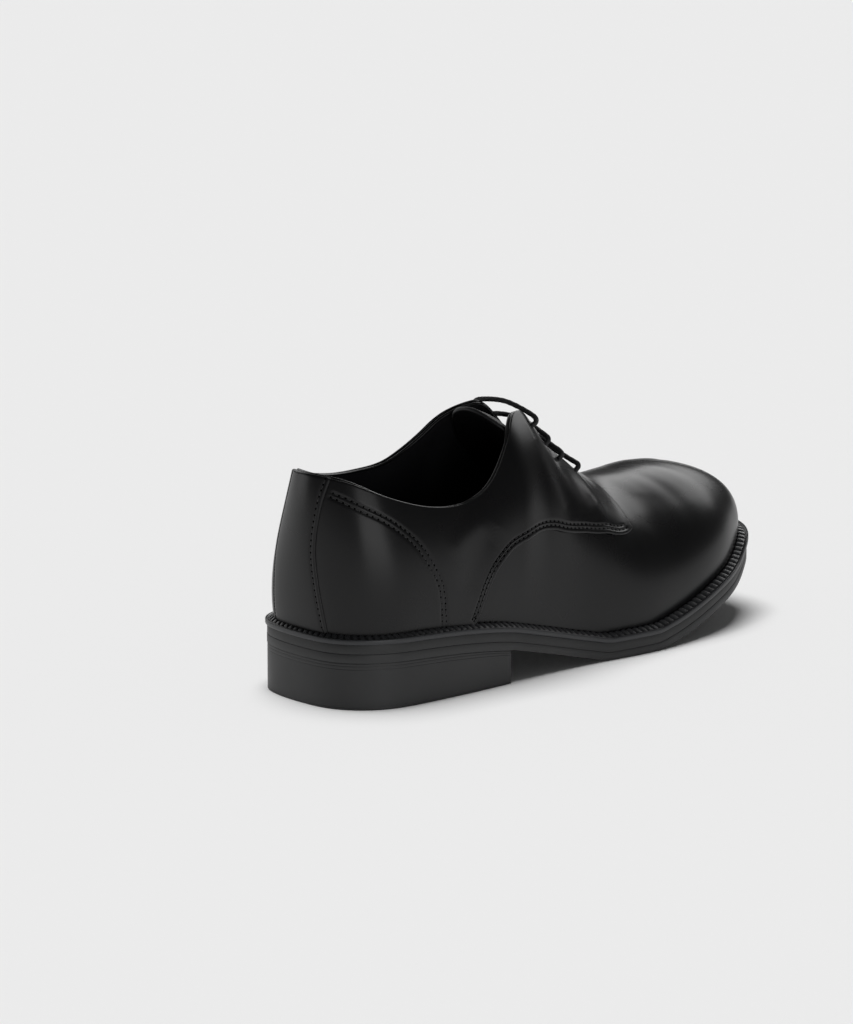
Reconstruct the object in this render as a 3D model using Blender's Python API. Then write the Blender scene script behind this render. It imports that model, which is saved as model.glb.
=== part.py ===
"""Derby shoe for the right foot, standing empty on its sole. Toe along +X, outer side along -Y."""

import bpy
import numpy as np

for old in list(bpy.data.objects):
    bpy.data.objects.remove(old, do_unlink=True)

# sizes that drive the shoe, in metres
sole_length = 0.288
ball_width = 0.104
heel_height = 0.0224
heel_length = 0.0945
toe_spring = 0.031
collar_height = 0.0730
instep_height = 0.0995
toe_box_height = 0.0530

outsole_thick = 0.0038
midsole_thick = 0.0040
welt_thick = 0.0026
layer_gap = 0.0003
midsole_inset = 0.0013
heel_inset = 0.0010
welt_width = 0.0056
welt_inner = 0.0096
bed_reach = 0.030

upper_wall = 0.0018
overlay_gap = 0.0005
quarter_thick = 0.0012
strap_thick = 0.0020
foot_gap = 0.0003
insole_thick = 0.0030
tongue_thick = 0.0022

throat_end = 0.176
throat_round = 0.014
eyelet_radius = 0.0021
eyelet_back = 0.0066
lace_radius = 0.00125
lace_gap = 0.0009
lace_rise = 0.0026
strap_gap = 0.0007

# one row per section from the heel back to the toe tip:
# along the sole, outer half width, inner half width (shares of sole_length and of ball_width)
plan_rows = (
    (0.000, 0.053, -0.053),
    (0.015, 0.250, 0.222),
    (0.068, 0.384, 0.346),
    (0.140, 0.424, 0.364),
    (0.213, 0.436, 0.346),
    (0.287, 0.440, 0.325),
    (0.360, 0.438, 0.298),
    (0.434, 0.436, 0.284),
    (0.508, 0.442, 0.308),
    (0.580, 0.464, 0.372),
    (0.653, 0.480, 0.458),
    (0.726, 0.468, 0.508),
    (0.798, 0.440, 0.520),
    (0.868, 0.384, 0.490),
    (0.932, 0.286, 0.412),
    (0.983, 0.145, 0.268),
    (1.000, -0.084, 0.084),
)

# underside of the outsole behind the ball: along, share of heel_height
seat_rows = (
    (-0.10, 1.0), (0.000, 1.0), (0.070, 0.993), (0.140, 0.965), (0.213, 0.906), (0.287, 0.800),
    (0.330, 0.710), (0.380, 0.555), (0.445, 0.340), (0.510, 0.125), (0.560, 0.0), (0.650, 0.0),
)
# underside of the outsole in front of the ball: along, share of toe_spring
spring_rows = (
    (0.560, 0.0), (0.650, 0.0), (0.690, 0.060), (0.733, 0.155), (0.770, 0.255), (0.813, 0.380),
    (0.858, 0.505), (0.900, 0.640), (0.940, 0.800), (1.000, 1.0), (1.10, 1.25),
)

# upper end of each section, which the throat cuts back: along, half width (share of ball_width),
# outer and inner height over the welt (shares of collar_height round the collar,
# of instep_height along the throat and of toe_box_height over the vamp)
top_rows = (
    (0.019, 0.000, 1.004, 1.004),
    (0.042, 0.162, 0.975, 0.984),
    (0.085, 0.243, 0.889, 0.924),
    (0.156, 0.283, 0.797, 0.871),
    (0.229, 0.298, 0.776, 0.878),
    (0.299, 0.296, 0.874, 0.950),
    (0.368, 0.245, 0.852, 0.864),
    (0.431, 0.085, 1.050, 1.054),
    (0.486, 0.030, 0.945, 0.998),
    (0.545, 0.000, 0.812, 0.834),
    (0.611, 0.000, 1.291, 1.291),
    (0.667, 0.000, 1.203, 1.203),
    (0.726, 0.000, 1.137, 1.137),
    (0.774, 0.000, 1.079, 1.079),
    (0.809, 0.000, 1.016, 1.016),
    (0.830, 0.000, 0.968, 0.968),
    (0.837, 0.000, 0.948, 0.948),
)

# shape of each section: lean at the top and tilt at the foot (degrees),
# length of the straight run at the top and at the foot (shares of the section's own span)
shape_rows = (
    (11.0, 7.3, 0.34, 0.34),
    (12.0, 7.5, 0.34, 0.34),
    (15.0, 8.0, 0.32, 0.36),
    (18.0, 10.0, 0.30, 0.36),
    (20.0, 8.0, 0.30, 0.36),
    (24.0, 6.0, 0.32, 0.36),
    (36.0, 5.0, 0.34, 0.36),
    (54.0, 5.0, 0.34, 0.38),
    (66.0, 6.0, 0.35, 0.40),
    (80.0, 8.0, 0.36, 0.42),
    (88.0, 10.0, 0.38, 0.42),
    (90.0, 12.0, 0.40, 0.40),
    (90.0, 14.0, 0.44, 0.40),
    (90.0, 13.0, 0.48, 0.40),
    (90.0, 11.0, 0.50, 0.40),
    (90.0, 11.0, 0.51, 0.40),
    (90.0, 12.0, 0.52, 0.40),
)

# opening between the facings: along, half width (share of ball_width)
throat_rows = ((0.368, 0.245), (0.431, 0.135), (0.486, 0.115), (0.545, 0.115), (0.611, 0.115))

# middle line of the upper: along, offset to the inner side (share of ball_width)
middle_rows = ((-0.1, -0.048), (0.20, -0.046), (0.42, -0.030), (0.65, 0.004), (0.82, 0.050), (1.1, 0.075))

# quarter edges: section and share up the section at the lower edge, section at the top line
quarter_rows = (
    (0.42, 0.000, 0.58),
    (1.50, 0.000, 1.45),
    (2.70, 0.000, 2.50),
    (3.80, 0.000, 3.50),
    (4.54, 0.004, 4.45),
    (4.80, 0.165, 5.20),
    (4.98, 0.300, 5.65),
    (5.22, 0.403, 6.05),
    (5.70, 0.468, 6.45),
    (6.40, 0.440, 6.85),
    (7.32, 0.424, 7.40),
    (8.34, 0.484, 8.20),
    (9.10, 0.512, 8.90),
    (9.82, 0.540, 9.82),
)

# back strap's outline: share up the section, place of its middle and half width in sections
strap_rows = (
    (0.00, -0.25, 0.73), (0.12, -0.29, 0.70), (0.30, -0.34, 0.66), (0.50, -0.38, 0.65), (0.80, -0.26, 0.65),
    (1.00, -0.10, 0.66),
)

# middle of the tongue from the vamp to its free end: along, height over the welt
# (share of toe_box_height for the first two, then of instep_height), half width
# (share of ball_width)
tongue_rows = (
    (0.660, 1.126, 0.150),
    (0.611, 1.185, 0.185),
    (0.545, 0.679, 0.236),
    (0.486, 0.788, 0.228),
    (0.438, 0.885, 0.215),
    (0.403, 0.951, 0.200),
    (0.372, 0.974, 0.180),
)

eyelet_sections = (7.36, 7.96, 8.50, 9.05)


def table_curve(rows, column, place):
    """Value of one column at a place along the first one, with no overshoot between rows."""
    rows = np.array(rows)
    x, y = rows[:, 0], rows[:, column]
    step = np.diff(x)
    slope = np.diff(y) / step
    turn = np.zeros(len(x))
    same = slope[:-1] * slope[1:] > 0
    first, second = slope[:-1][same], slope[1:][same]
    weight = step[:-1][same] + 2 * step[1:][same]
    other = 2 * step[:-1][same] + step[1:][same]
    turn[1:-1][same] = (weight + other) / (weight / first + other / second)
    turn[0], turn[-1] = slope[0], slope[-1]
    place = np.clip(place, x[0], x[-1])
    index = np.clip(np.searchsorted(x, place, side="right") - 1, 0, len(x) - 2)
    u = (place - x[index]) / step[index]
    start, end = turn[index] * step[index], turn[index + 1] * step[index]
    rise = y[index + 1] - y[index]
    return y[index] + start * u + (3 * rise - 2 * start - end) * u**2 + (start + end - 2 * rise) * u**3


def ring_spline(values, place):
    """Smooth closed curve through evenly numbered values."""
    values = np.array(values, float)
    count = len(values)
    bend = np.eye(count) * 4 + np.roll(np.eye(count), 1, 1) + np.roll(np.eye(count), -1, 1)
    pull = 6 * (np.roll(values, 1, 0) - 2 * values + np.roll(values, -1, 0))
    second = np.linalg.solve(bend, pull)
    place = np.asarray(place, float) % count
    index = place.astype(int) % count
    after = (index + 1) % count
    u = (place - place.astype(int)).reshape(place.shape + (1,) * (values.ndim - 1))
    back = 1 - u
    return (
        back * values[index] + u * values[after]
        + ((back**3 - back) * second[index] + (u**3 - u) * second[after]) / 6
    )


top_sizes = np.array([collar_height] * 6 + [instep_height] * 4 + [toe_box_height] * 7)
section_count = len(plan_rows) - 1
ring_count = 2 * section_count


def both_sides(outer, inner):
    """Values of the outer side from heel to toe, then of the inner side back to the heel."""
    return np.concatenate([outer, inner[section_count - 1:0:-1]])


def section_of(ring):
    """Section number and side (-1 outer, +1 inner) of a place on the ring."""
    ring = np.asarray(ring, float) % ring_count
    inner = ring > section_count
    return np.where(inner, ring_count - ring, ring), np.where(inner, 1.0, -1.0)


def sole_edge(ring, inset):
    """Plan of the sole's edge, moved in by inset."""
    plan = np.array(plan_rows)
    x = both_sides(plan[:, 0], plan[:, 0]) * sole_length
    y = both_sides(-plan[:, 1], plan[:, 2]) * ball_width
    loop = np.stack([x, y], 1)
    here = ring_spline(loop, ring)
    ahead = ring_spline(loop, np.asarray(ring) + 0.01) - ring_spline(loop, np.asarray(ring) - 0.01)
    normal = np.stack([-ahead[..., 1], ahead[..., 0]], -1)
    normal /= np.linalg.norm(normal, axis=-1, keepdims=True)
    return here + inset * normal


def sole_underside(x):
    share = x / sole_length
    return heel_height * table_curve(seat_rows, 1, share) + toe_spring * table_curve(spring_rows, 1, share)


def welt_top(x):
    return sole_underside(x) + outsole_thick + midsole_thick + welt_thick + 2 * layer_gap


def foot_bed(x):
    """Mean height of the welt near x, which the upper's heights are measured from."""
    reach = bed_reach * np.linspace(-1, 1, 7)
    return np.mean([welt_top(np.asarray(x) + step) for step in reach], axis=0)


def middle(x):
    return ball_width * table_curve(middle_rows, 1, x / sole_length)


def throat_half(x):
    """Half width of the opening between the facings, rounded at its lower end."""
    run = np.clip((x - throat_end + throat_round) / throat_round, 0, 1)
    return table_curve(throat_rows, 1, x / sole_length) * ball_width * np.sqrt(1 - run**2)


def section_ends(ring):
    rows = np.array(top_rows)
    section, side = section_of(ring)
    span = ring_spline(both_sides(rows[:, 0], rows[:, 0]), ring) * sole_length
    over = both_sides(rows[:, 2] * top_sizes, rows[:, 3] * top_sizes)
    z = foot_bed(span) + ring_spline(over, ring)
    number = np.arange(len(rows), dtype=float)
    half = table_curve(np.stack([number, rows[:, 1]], 1), 1, section) * ball_width
    return np.stack([span, middle(span) + side * half, z], -1)


def section_curve(ring, up):
    """Outer face of the upper over a whole section, from the welt to the section's end."""
    ring = np.asarray(ring, float)
    up = np.asarray(up, float)[..., None]
    foot_plan = sole_edge(ring, welt_width)
    foot = np.concatenate([foot_plan, (welt_top(foot_plan[..., 0]) + foot_gap)[..., None]], -1)
    top = section_ends(ring)
    shape = np.array(shape_rows)
    lean, tilt, top_run, foot_run = [
        ring_spline(both_sides(shape[:, k], shape[:, k]), ring)[..., None] for k in range(4)
    ]
    lean, tilt = np.radians(lean), np.radians(tilt)
    edge = sole_edge(ring, 0.0) - foot_plan
    out = np.concatenate([edge / welt_width, np.zeros(edge.shape[:-1] + (1,))], -1)
    to_foot = foot - top
    to_foot[..., 2] = 0
    to_foot /= np.linalg.norm(to_foot, axis=-1, keepdims=True)
    front = np.clip((section_of(ring)[0] - 7.5) / 2.5, 0, 1)[..., None]
    front = front**2 * (3 - 2 * front)
    away = out * (1 - front) + to_foot * front
    away /= np.linalg.norm(away, axis=-1, keepdims=True)
    away[..., 2] = front[..., 0] * spine_slope(top[..., 0]) * away[..., 0]
    rise = np.array([0.0, 0.0, 1.0])
    span = np.linalg.norm(foot - top, axis=-1, keepdims=True)
    low = foot + foot_run * span * (np.cos(tilt) * rise + np.sin(tilt) * out)
    high = top + top_run * span * (np.sin(lean) * away - np.cos(lean) * rise)
    down = 1 - up
    return down**3 * foot + 3 * down**2 * up * low + 3 * down * up**2 * high + up**3 * top


def spine_slope(x):
    """Rise of the vamp's ridge along x."""
    rows = np.array(top_rows)
    ridge = np.c_[rows[:, 0] * sole_length, rows[:, 2] * top_sizes][9:]
    ahead = np.clip(x + bed_reach / 15, None, ridge[-1, 0])
    behind = ahead - bed_reach / 7.5
    rise = foot_bed(ahead) + table_curve(ridge, 1, ahead) - foot_bed(behind) - table_curve(ridge, 1, behind)
    return rise / (ahead - behind)


def throat_cut(ring):
    """Share up each section at which it meets the edge of the throat."""
    levels = np.linspace(0.5, 1.0, 80)
    points = section_curve(ring[:, None] + 0 * levels, levels + 0 * ring[:, None])
    off = np.abs(points[..., 1] - middle(points[..., 0])) - throat_half(points[..., 0])
    cuts = np.ones(len(ring))
    for k in np.flatnonzero((section_of(ring)[0] > 6) & (off.min(1) < 0)):
        first = np.argmax(off[k] < 0)
        before, after = off[k, first - 1], off[k, first]
        cuts[k] = levels[first - 1] + (levels[1] - levels[0]) * before / (before - after)
    return cuts


cut_places = np.linspace(0, ring_count, 1601)
cut_shares = throat_cut(cut_places)


def surface(ring, up):
    """Outer face of the upper: ring goes round the shoe, up runs from the welt to the top line."""
    return section_curve(ring, up * np.interp(np.asarray(ring) % ring_count, cut_places, cut_shares))


def face_normals(points, faces):
    corners = points[faces]
    return np.cross(corners[:, 1] - corners[:, 0], corners[:, 2] - corners[:, 0])


def point_normals(points, faces):
    normals = np.zeros_like(points)
    each = face_normals(points, faces)
    for corner in range(3):
        np.add.at(normals, faces[:, corner], each)
    return normals / np.linalg.norm(normals, axis=1, keepdims=True)


def grid_faces(index):
    """Triangles over a grid of point numbers, leaving out the ones that fold to nothing."""
    a, b, c, d = index[:-1, :-1], index[1:, :-1], index[1:, 1:], index[:-1, 1:]
    first = np.stack([a, b, c], -1).reshape(-1, 3)
    second = np.stack([a, c, d], -1).reshape(-1, 3)
    faces = np.concatenate([first, second])
    keep = (faces[:, 0] != faces[:, 1]) & (faces[:, 1] != faces[:, 2]) & (faces[:, 2] != faces[:, 0])
    return faces[keep]


def sheet_solid(points, faces, outer, inner):
    """Closed solid between two offsets of a sheet."""
    normals = point_normals(points, faces)
    count = len(points)
    edges = np.concatenate([faces[:, [0, 1]], faces[:, [1, 2]], faces[:, [2, 0]]])
    ordered = np.sort(edges, axis=1)
    _, index, uses = np.unique(ordered, axis=0, return_index=True, return_counts=True)
    rim = edges[index[uses == 1]]
    walls = np.concatenate([
        np.stack([rim[:, 1], rim[:, 0], rim[:, 0] + count], 1),
        np.stack([rim[:, 1], rim[:, 0] + count, rim[:, 1] + count], 1),
    ])
    both = np.concatenate([points + outer * normals, points + inner * normals])
    return both, np.concatenate([faces, faces[:, ::-1] + count, walls])


parts = bpy.data.collections.new("derby_shoe")
cutters = bpy.data.collections.new("cutters")


def material(name, colour, roughness):
    made = bpy.data.materials.new(name)
    made.use_nodes = True
    shader = made.node_tree.nodes["Principled BSDF"]
    shader.inputs["Base Color"].default_value = (*colour, 1.0)
    shader.inputs["Roughness"].default_value = roughness
    shader.inputs["Metallic"].default_value = 0.0
    return made


def add_mesh(name, points, faces, look, collection):
    mesh = bpy.data.meshes.new(name)
    mesh.from_pydata([tuple(p) for p in points], [], [tuple(int(i) for i in f) for f in faces])
    mesh.validate()
    mesh.materials.append(look)
    made = bpy.data.objects.new(name, mesh)
    collection.objects.link(made)
    return made


def slab(inset, bottom, top, x_end, stations):
    """Solid under part of the sole's plan, with its faces following heights given along x."""
    turn = np.linspace(0, section_count, 400)
    outer = sole_edge(turn, inset)
    inner = sole_edge(ring_count - turn, inset)
    first = max(outer[:, 0].min(), inner[:, 0].min())
    last = min(outer[:, 0].max(), inner[:, 0].max())
    if x_end is None:
        share = (1 - np.cos(np.pi * np.arange(1, stations) / stations)) / 2
        x = first + (last - first) * share
        tips = [first, last]
    else:
        share = 1 - np.cos(np.pi / 2 * np.arange(1, stations + 1) / stations)
        x = first + (x_end - first) * share
        tips = [first]
    outer_y = side_width(outer, x)
    inner_y = side_width(inner, x)
    back_y = outer[np.argmin(outer[:, 0]), 1]
    tip_y = outer[np.argmax(outer[:, 0]), 1]
    ring = [(tips[0], back_y)] + list(zip(x, outer_y))
    if len(tips) == 2:
        ring += [(tips[1], tip_y)]
    ring += list(zip(x[::-1], inner_y[::-1]))
    ring = np.array(ring)
    count = len(ring)
    low = np.c_[ring, bottom(ring[:, 0])]
    high = np.c_[ring, top(ring[:, 0])]
    points = np.concatenate([low, high])
    faces = []
    for i in range(count):
        j = (i + 1) % count
        faces += [(i, j, j + count), (i, j + count, i + count)]
    pairs = [(0, 0)] + [(1 + i, count - 1 - i) for i in range(len(x))]
    if len(tips) == 2:
        pairs += [(1 + len(x), 1 + len(x))]
    for (a, b), (c, d) in zip(pairs[:-1], pairs[1:]):
        for corners in ((a, b, d), (a, d, c)):
            if len(set(corners)) == 3:
                faces.append(corners)
                faces.append(tuple(i + count for i in corners[::-1]))
    return points, faces


def side_width(side, x):
    """Width of one side of the plan at places along x."""
    first, last = np.argmin(side[:, 0]), np.argmax(side[:, 0])
    run = side[first:last + 1]
    return np.interp(x, run[:, 0], run[:, 1])


def ring_solid(outer_inset, inner_inset, bottom, top, count):
    """Closed band round the sole."""
    ring = np.arange(count) * ring_count / count
    outer = sole_edge(ring, outer_inset)
    inner = sole_edge(ring, inner_inset)
    loops = [
        np.c_[outer, bottom(outer[:, 0])],
        np.c_[outer, top(outer[:, 0])],
        np.c_[inner, top(inner[:, 0])],
        np.c_[inner, bottom(inner[:, 0])],
    ]
    points = np.concatenate(loops)
    faces = []
    for k in range(4):
        here, there = k * count, ((k + 1) % 4) * count
        for i in range(count):
            j = (i + 1) % count
            faces += [(here + i, here + j, there + j), (here + i, there + j, there + i)]
    return points, faces


def upper_sheet():
    """The whole outer face as one sheet, closed over the vamp."""
    stations = np.concatenate([
        np.arange(0, 10) / 6, np.arange(5, 27) / 3, np.arange(37, 47) / 6, np.arange(53, 60) / 6,
        np.linspace(10, 16, 17),
    ])
    stations = np.unique(np.round(stations, 4))
    ring = np.concatenate([stations, ring_count - stations[-2:0:-1]])
    levels = np.array([0, 0.09, 0.20, 0.32, 0.44, 0.56, 0.68, 0.79, 0.90, 1.0])
    points = surface(ring[:, None] + 0 * levels, levels + 0 * ring[:, None])
    count, high = len(ring), len(levels)
    index = np.arange(count * high).reshape(count, high)
    closed = len(stations)
    for i in range(closed, count):
        mirror = 2 * (closed - 1) - i
        if stations[mirror] >= 10 - 1e-6:
            index[i, -1] = index[mirror, -1]
    index = np.concatenate([index, index[:1]])
    faces = grid_faces(index)
    points = points.reshape(-1, 3)
    used, renumber = np.unique(faces, return_inverse=True)
    return points[used], renumber.reshape(-1, 3)


def quarter_sheet(side):
    rows = np.array(quarter_rows)
    number = np.arange(len(rows), dtype=float)
    table = np.c_[number, rows]
    along = np.concatenate([np.arange(5) / 5, np.linspace(1, len(rows) - 1, 32)])
    low_section = table_curve(table, 1, along)
    low_up = table_curve(table, 2, along)
    top_section = table_curve(table, 3, along)
    levels = np.linspace(0, 1, 10)[None, :]
    section = low_section[:, None] * (1 - levels) + top_section[:, None] * levels
    up = low_up[:, None] * (1 - levels) + levels * 0.998
    up = np.maximum(up, 0.012)
    first, second = section[0], rows[1, 0]
    one_section = np.linalg.norm(surface(1.0, 0.5) - surface(0.0, 0.5))
    strap_edge = strap_place(up, -side) * -side + strap_gap / one_section
    squeezed = strap_edge + (section - first) * (second - strap_edge) / (second - first)
    section = np.where(section < second, squeezed, section)
    ring = section if side < 0 else ring_count - section
    points = surface(ring, up)
    index = np.arange(points.shape[0] * points.shape[1]).reshape(points.shape[:2])
    faces = grid_faces(index)
    if side > 0:
        faces = faces[:, ::-1]
    return points.reshape(-1, 3), faces


def strap_place(up, across):
    """Place on the ring of a point across the back strap, from -1 on its inner edge to 1."""
    return table_curve(strap_rows, 1, up) + across * table_curve(strap_rows, 2, up)


def strap_sheet():
    levels = np.linspace(0.012, 0.998, 13)
    across = np.linspace(-1, 1, 7)
    ring = strap_place(levels[None, :], across[:, None])
    points = surface(ring, levels + 0 * ring)
    index = np.arange(ring.size).reshape(ring.shape)
    return points.reshape(-1, 3), grid_faces(index)


def tongue_sheet():
    rows = np.array(tongue_rows)
    number = np.arange(len(rows), dtype=float)
    table = np.c_[number, rows]
    across = np.linspace(-1, 1, 9)
    ends = len(rows) - 1 - 1.25 * across**4 - 0.35 * across**2
    along = np.linspace(0, 1, 15)[:, None] * ends[None, :]
    x = table_curve(table, 1, along) * sole_length
    sizes = np.array([toe_box_height] * 2 + [instep_height] * (len(rows) - 2))
    table[:, 2] *= sizes
    z = foot_bed(x) + table_curve(table, 2, along)
    half = table_curve(table, 3, along) * ball_width
    y = across * half
    points = np.stack([x, middle(x) + y, z - 19.0 * y**2], -1)
    index = np.arange(x.size).reshape(x.shape)
    return points.reshape(-1, 3), grid_faces(index)


def face_with_normal(ring, up):
    """Places on the upper's face with the direction out of it."""
    step = 0.02
    below = np.asarray(up) - 0.02
    along = surface(ring + step, below) - surface(ring - step, below)
    across = surface(ring, below + 0.01) - surface(ring, below - 0.01)
    normal = np.cross(along, across)
    normal /= np.linalg.norm(normal, axis=1, keepdims=True)
    return surface(ring, up), normal * np.sign(normal[:, 2:])


def eyelet_points(side):
    """Middle of each eyelet on the upper's face, and the place on the throat's edge above it."""
    section = np.array(eyelet_sections)
    ring = section if side < 0 else ring_count - section
    near = surface(ring, np.full(4, 1.0))
    far = surface(ring, np.full(4, 0.90))
    run = np.linalg.norm(far - near, axis=1)
    here, normal = face_with_normal(ring, 1 - 0.1 * eyelet_back / run)
    edge, edge_normal = face_with_normal(ring, np.full(4, 0.985))
    return here, normal, edge, edge_normal


def cylinder(centre, direction, radius, half_length, sides):
    direction = np.array(direction) / np.linalg.norm(direction)
    across = np.cross(direction, (1.0, 0.0, 0.0))
    across /= np.linalg.norm(across)
    other = np.cross(direction, across)
    turn = np.arange(sides) * 2 * np.pi / sides
    circle = radius * (np.cos(turn)[:, None] * across + np.sin(turn)[:, None] * other)
    points = np.concatenate([
        centre - half_length * direction + circle,
        centre + half_length * direction + circle,
    ])
    faces = [list(range(sides))[::-1], [sides + i for i in range(sides)]]
    for i in range(sides):
        j = (i + 1) % sides
        faces.append([i, j, sides + j, sides + i])
    return points, faces


def smooth_path(points, pieces):
    """Evenly stepped curve through the points."""
    points = np.array(points)
    ends = np.concatenate([[2 * points[0] - points[1]], points, [2 * points[-1] - points[-2]]])
    out = []
    for i in range(len(points) - 1):
        a, b, c, d = ends[i:i + 4]
        for u in np.arange(pieces) / pieces:
            out.append(
                0.5 * ((2 * b) + (c - a) * u + (2 * a - 5 * b + 4 * c - d) * u**2
                       + (3 * b - a - 3 * c + d) * u**3)
            )
    out.append(points[-1])
    return np.array(out)


def tube(path, radius, sides):
    """Closed round tube along a path, turned as little as possible from ring to ring."""
    ahead = np.gradient(path, axis=0)
    ahead /= np.linalg.norm(ahead, axis=1, keepdims=True)
    across = np.cross(ahead[0], (1.0, 0.0, 0.0))
    rings = []
    turn = np.arange(sides) * 2 * np.pi / sides
    for here, direction in zip(path, ahead):
        across = across - direction * (across @ direction)
        across /= np.linalg.norm(across)
        other = np.cross(direction, across)
        rings.append(here + radius * (np.cos(turn)[:, None] * across + np.sin(turn)[:, None] * other))
    points = np.concatenate(rings)
    faces = [tuple(range(sides))[::-1], tuple(len(points) - sides + i for i in range(sides))]
    for k in range(len(path) - 1):
        for i in range(sides):
            j = (i + 1) % sides
            a, b = k * sides + i, k * sides + j
            faces += [(a, b, b + sides), (a, b + sides, a + sides)]
    return points, faces


def lace_path():
    """Straight bars over the throat, joined by short runs under the facings."""
    places = {side: np.stack(eyelet_points(side)) for side in (-1, 1)}
    cover = overlay_gap + quarter_thick
    above = cover + lace_radius + lace_gap
    below = -(upper_wall + lace_radius + lace_gap)
    path = []
    side = -1
    for row in (3, 2, 1, 0):
        bar = []
        for hole, normal, edge, edge_normal in (places[side][:, row], places[-side][:, row]):
            toward = edge - hole
            toward /= np.linalg.norm(toward)
            half = [hole + below * normal, hole + 0.5 * cover * normal]
            half += [hole + (above + lace_gap / 2) * normal + lace_gap * toward]
            half += [edge + above * edge_normal]
            bar.append(half)
        arch = (bar[0][-1] + bar[1][-1]) / 2 + np.array([0, 0, lace_rise])
        path += bar[0] + [arch] + bar[1][::-1]
        side = -side
    return smooth_path(path, 3)


black_leather = material("black_leather", (0.012, 0.012, 0.013), 0.38)
upper_leather = material("upper_leather", (0.014, 0.014, 0.015), 0.42)
strap_leather = material("strap_leather", (0.013, 0.013, 0.014), 0.40)
tongue_leather = material("tongue_leather", (0.010, 0.010, 0.011), 0.48)
insole_leather = material("insole_leather", (0.008, 0.008, 0.009), 0.60)
sole_rubber = material("sole_rubber", (0.020, 0.021, 0.022), 0.50)
heel_rubber = material("heel_rubber", (0.022, 0.023, 0.024), 0.45)
midsole_rubber = material("midsole_rubber", (0.006, 0.006, 0.006), 0.60)
welt_rubber = material("welt_rubber", (0.015, 0.016, 0.017), 0.50)
lace_cord = material("lace_cord", (0.006, 0.006, 0.006), 0.75)

bpy.context.scene.collection.children.link(parts)
bpy.context.scene.collection.children.link(cutters)
cutters.hide_render = True

plan_edge = sole_edge(np.linspace(0, ring_count, 800), 0.0)
middle_of_plan = np.append((plan_edge.min(0) + plan_edge.max(0)) / 2, 0.0)


def floor_level(x):
    return 0 * x


def midsole_bottom(x):
    return sole_underside(x) + outsole_thick + layer_gap


def welt_bottom(x):
    return welt_top(x) - welt_thick


def insole_bottom(x):
    return welt_bottom(x) + layer_gap


solids = {
    "heel": slab(heel_inset, floor_level, lambda x: sole_underside(x) - layer_gap, heel_length, 20),
    "outsole": slab(0.0, sole_underside, lambda x: sole_underside(x) + outsole_thick, None, 50),
    "midsole": slab(
        midsole_inset, midsole_bottom, lambda x: midsole_bottom(x) + midsole_thick, None, 50
    ),
    "welt": ring_solid(0.0, welt_inner, welt_bottom, welt_top, 80),
    "insole": slab(
        welt_inner + foot_gap, insole_bottom, lambda x: insole_bottom(x) + insole_thick, None, 34
    ),
}
upper_points, upper_faces = upper_sheet()
solids["upper"] = sheet_solid(upper_points, upper_faces, 0.0, -upper_wall)
for name, side in (("quarter_lateral", -1), ("quarter_medial", 1)):
    points, faces = quarter_sheet(side)
    solids[name] = sheet_solid(points, faces, overlay_gap + quarter_thick, overlay_gap)
points, faces = strap_sheet()
solids["back_strap"] = sheet_solid(points, faces, overlay_gap + strap_thick, overlay_gap)
points, faces = tongue_sheet()
solids["tongue"] = sheet_solid(points, faces, 0.0, -tongue_thick)
solids["lace"] = tube(lace_path(), lace_radius, 6)

looks = {
    "heel": heel_rubber,
    "outsole": sole_rubber,
    "midsole": midsole_rubber,
    "welt": welt_rubber,
    "insole": insole_leather,
    "upper": upper_leather,
    "quarter_lateral": black_leather,
    "quarter_medial": black_leather,
    "back_strap": strap_leather,
    "tongue": tongue_leather,
    "lace": lace_cord,
}
objects = {}
for name, (points, faces) in solids.items():
    objects[name] = add_mesh(name, np.asarray(points) - middle_of_plan, faces, looks[name], parts)

for side, owner in ((-1, "quarter_lateral"), (1, "quarter_medial")):
    places, normals = eyelet_points(side)[:2]
    for row, (place, normal) in enumerate(zip(places, normals)):
        reach = 1.2 * (overlay_gap + quarter_thick + upper_wall)
        points, faces = cylinder(place, normal, eyelet_radius, reach, 12)
        cutter = add_mesh(f"{owner}_hole_{row}", points - middle_of_plan, faces, lace_cord, cutters)
        cutter.hide_render = True
        cutter.display_type = "WIRE"
        for target in (owner, "upper"):
            cut = objects[target].modifiers.new(cutter.name, "BOOLEAN")
            cut.operation = "DIFFERENCE"
            cut.solver = "EXACT"
            cut.object = cutter
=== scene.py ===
import math
import bpy
import numpy as np
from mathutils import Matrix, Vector


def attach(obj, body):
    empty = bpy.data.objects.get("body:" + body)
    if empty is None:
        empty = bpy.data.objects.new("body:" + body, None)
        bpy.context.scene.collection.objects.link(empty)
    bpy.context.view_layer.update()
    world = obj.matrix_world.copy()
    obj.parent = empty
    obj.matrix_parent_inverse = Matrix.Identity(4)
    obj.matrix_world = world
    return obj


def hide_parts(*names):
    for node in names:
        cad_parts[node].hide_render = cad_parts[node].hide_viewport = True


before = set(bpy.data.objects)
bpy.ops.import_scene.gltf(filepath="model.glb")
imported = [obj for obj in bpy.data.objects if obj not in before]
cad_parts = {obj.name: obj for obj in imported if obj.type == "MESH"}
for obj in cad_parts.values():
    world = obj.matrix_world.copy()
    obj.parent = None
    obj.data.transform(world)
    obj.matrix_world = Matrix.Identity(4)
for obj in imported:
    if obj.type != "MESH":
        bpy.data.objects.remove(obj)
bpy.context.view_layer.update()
scene = bpy.context.scene
scene.view_settings.view_transform = "Standard"
shoeGroup = bpy.data.collections.new("shoeGroup")  # what the softboxes light

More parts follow.
